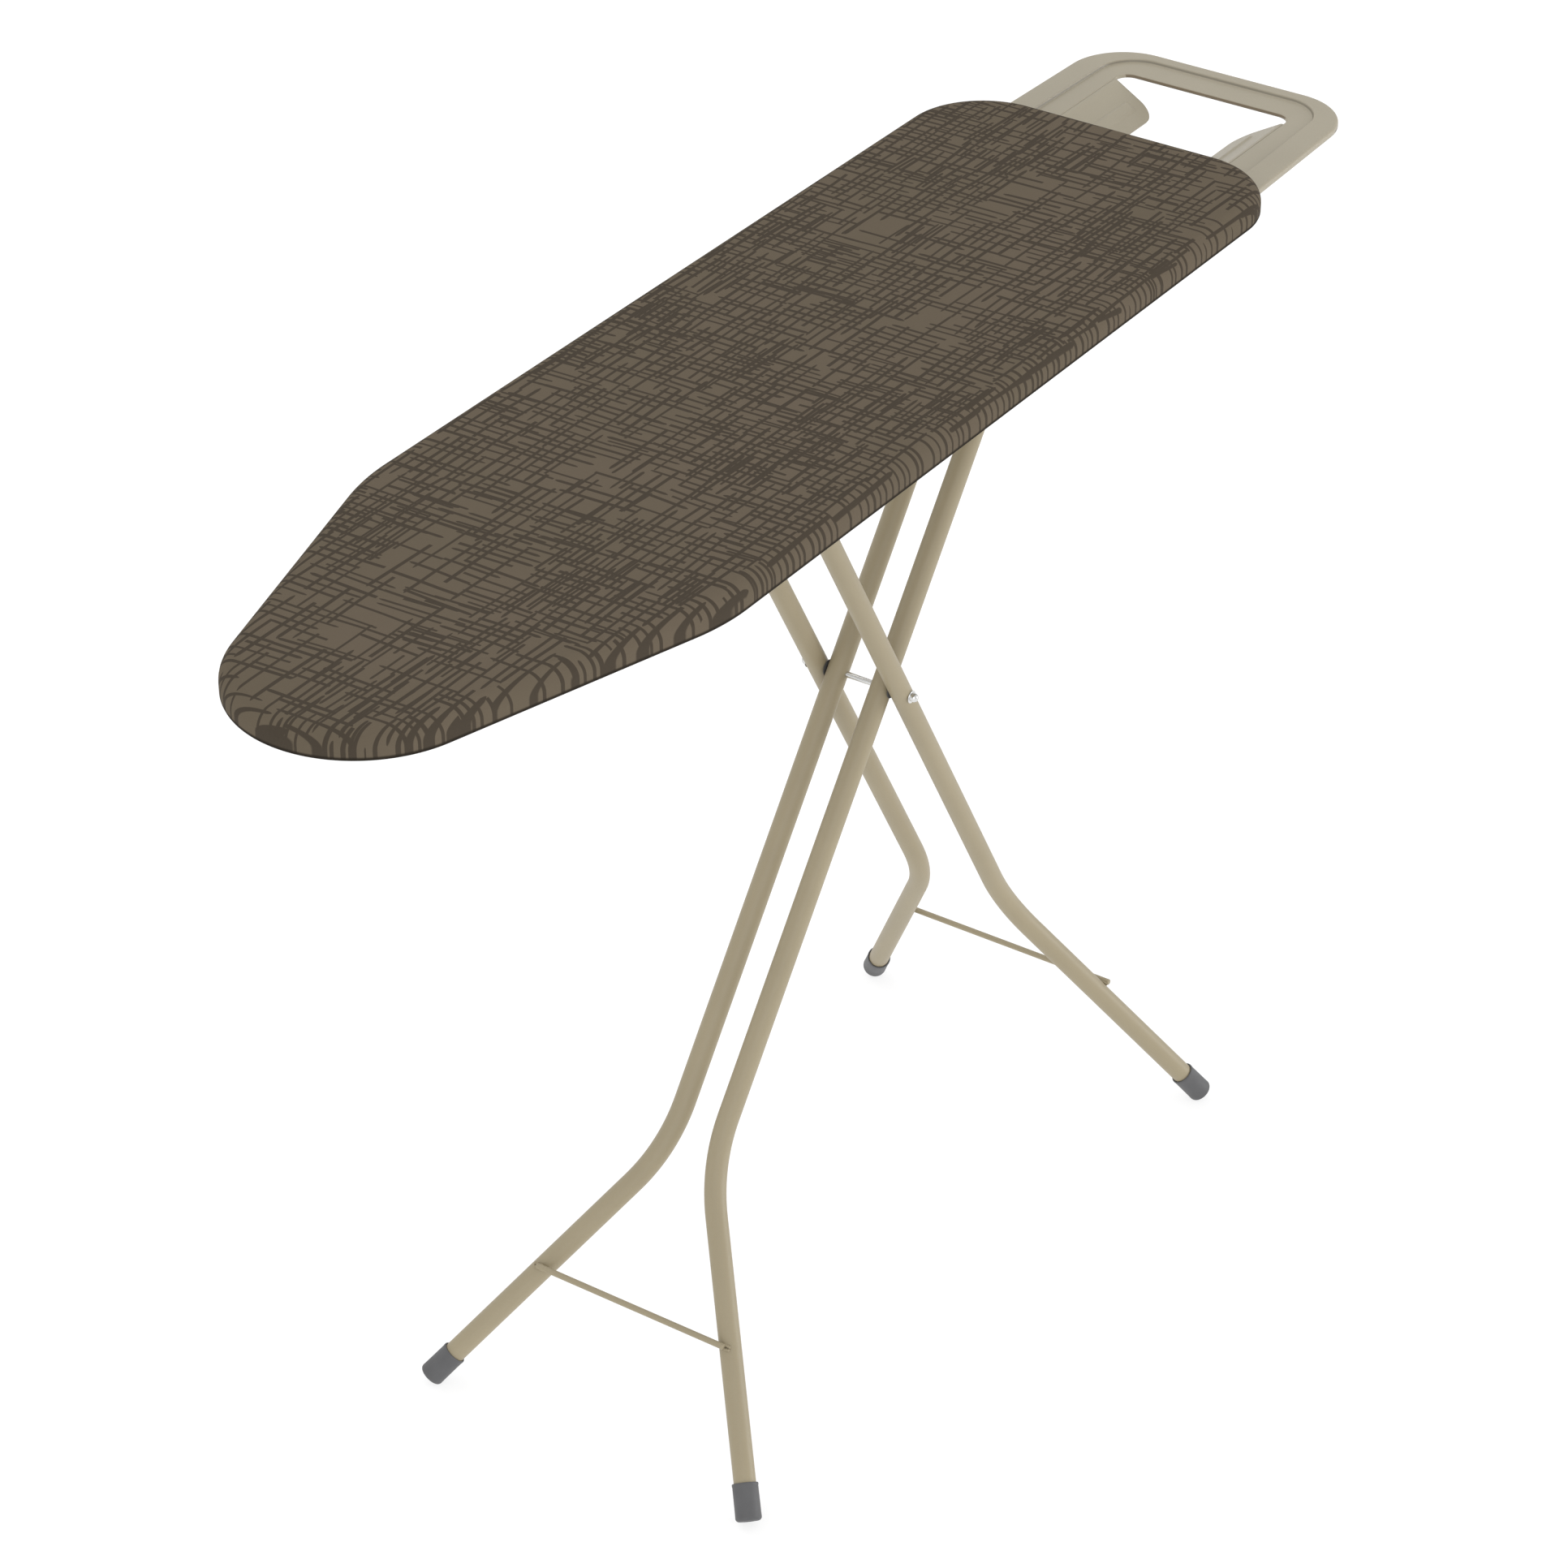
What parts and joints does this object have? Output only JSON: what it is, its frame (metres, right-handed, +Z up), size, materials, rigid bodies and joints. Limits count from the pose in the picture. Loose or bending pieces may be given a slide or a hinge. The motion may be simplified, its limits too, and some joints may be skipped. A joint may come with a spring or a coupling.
{
  "type": "ironing board",
  "caption": "Folding ironing board with a tapered fabric-covered top, a pressed sheet iron rest and two crossed tube leg frames that fold flat under it.",
  "frame": {"origin": "on the floor, under the middle of the whole object's box", "axes": "+X runs from the rounded nose to the iron rest, +Y is the left side seen in that direction, +Z is up"},
  "size_m": [1.2866, 0.3634, 0.8635],
  "materials": {
    "cover_fabric": "matte brown cotton printed with darker broken crosshatch lines",
    "foam": "pale felt and foam underlay",
    "frame_coat": "satin khaki powder coat with a fine grain",
    "rest_coat": "satin greige powder coat with a fine grain",
    "bright_steel": "zinc-plated bright steel",
    "dark_plastic": "matte dark grey moulded plastic",
    "nylon": "natural nylon"
  },
  "bodies": {
    "board": {"cover": "cover_fabric", "foam_pad": "foam", "top_panel": "frame_coat", "rim_strip": "frame_coat", "rib_front": "frame_coat", "rib_centre": "frame_coat", "rib_lever": "frame_coat", "rib_hinge": "frame_coat", "rib_rear": "frame_coat", "guide_rail_left": "frame_coat", "guide_rail_right": "frame_coat", "hinge_bracket_left": "bright_steel", "hinge_bracket_right": "bright_steel", "lever_bracket": "bright_steel", "lever_pin": "bright_steel", "lever_spring": "bright_steel", "iron_rest": "rest_coat", "rest_spacer_left": "bright_steel", "rest_spacer_right": "bright_steel", "rail_screw_front_left": "bright_steel", "rail_screw_front_right": "bright_steel", "rail_screw_rear_left": "bright_steel", "rail_screw_rear_right": "bright_steel", "hinge_screw_left": "bright_steel", "hinge_screw_right": "bright_steel", "rest_screw_left_1": "bright_steel", "rest_screw_left_2": "bright_steel", "rest_screw_right_1": "bright_steel", "rest_screw_right_2": "bright_steel"},
    "release_lever": {"release_lever": "bright_steel", "lever_grip": "dark_plastic"},
    "inner_legs": {"inner_leg_left": "frame_coat", "inner_leg_right": "frame_coat", "inner_foot_left": "dark_plastic", "inner_foot_right": "dark_plastic", "hinge_clip_left": "dark_plastic", "hinge_clip_right": "dark_plastic", "pivot_nut_left": "bright_steel", "pivot_nut_right": "bright_steel", "pivot_washer_left": "dark_plastic", "pivot_washer_right": "dark_plastic", "hinge_bar": "bright_steel", "inner_stretcher": "frame_coat", "pivot_pin": "bright_steel"},
    "outer_legs": {"outer_leg_left": "frame_coat", "outer_leg_right": "frame_coat", "outer_foot_left": "dark_plastic", "outer_foot_right": "dark_plastic", "slide_bush_left": "nylon", "slide_bush_right": "nylon", "slide_clip_left": "dark_plastic", "slide_clip_right": "dark_plastic", "slide_bar": "bright_steel", "outer_stretcher": "frame_coat"}
  },
  "joints": [
    {"name": "leg_fold", "type": "hinge", "parent": "board", "child": "inner_legs", "pos_m": [0.27611, 0, 0.827], "axis": [0, 1, 0], "range_deg": [0, 52.5]},
    {"name": "crossing_turn", "type": "hinge", "parent": "inner_legs", "child": "outer_legs", "pos_m": [0.0702, 0, 0.5307], "axis": [0, -1, 0], "range_deg": [0, 112.23]},
    {"name": "lever_turn", "type": "hinge", "parent": "board", "child": "release_lever", "pos_m": [-0.045, 0.0855, 0.838], "axis": [0, -1, 0], "range_deg": [0, 6], "stiffness_Nm_per_rad": 0.5, "springref_deg": -11.46}
  ],
  "couplings": [
    {"joint": "crossing_turn", "follows": "leg_fold", "ratio": 2.1376}
  ]
}
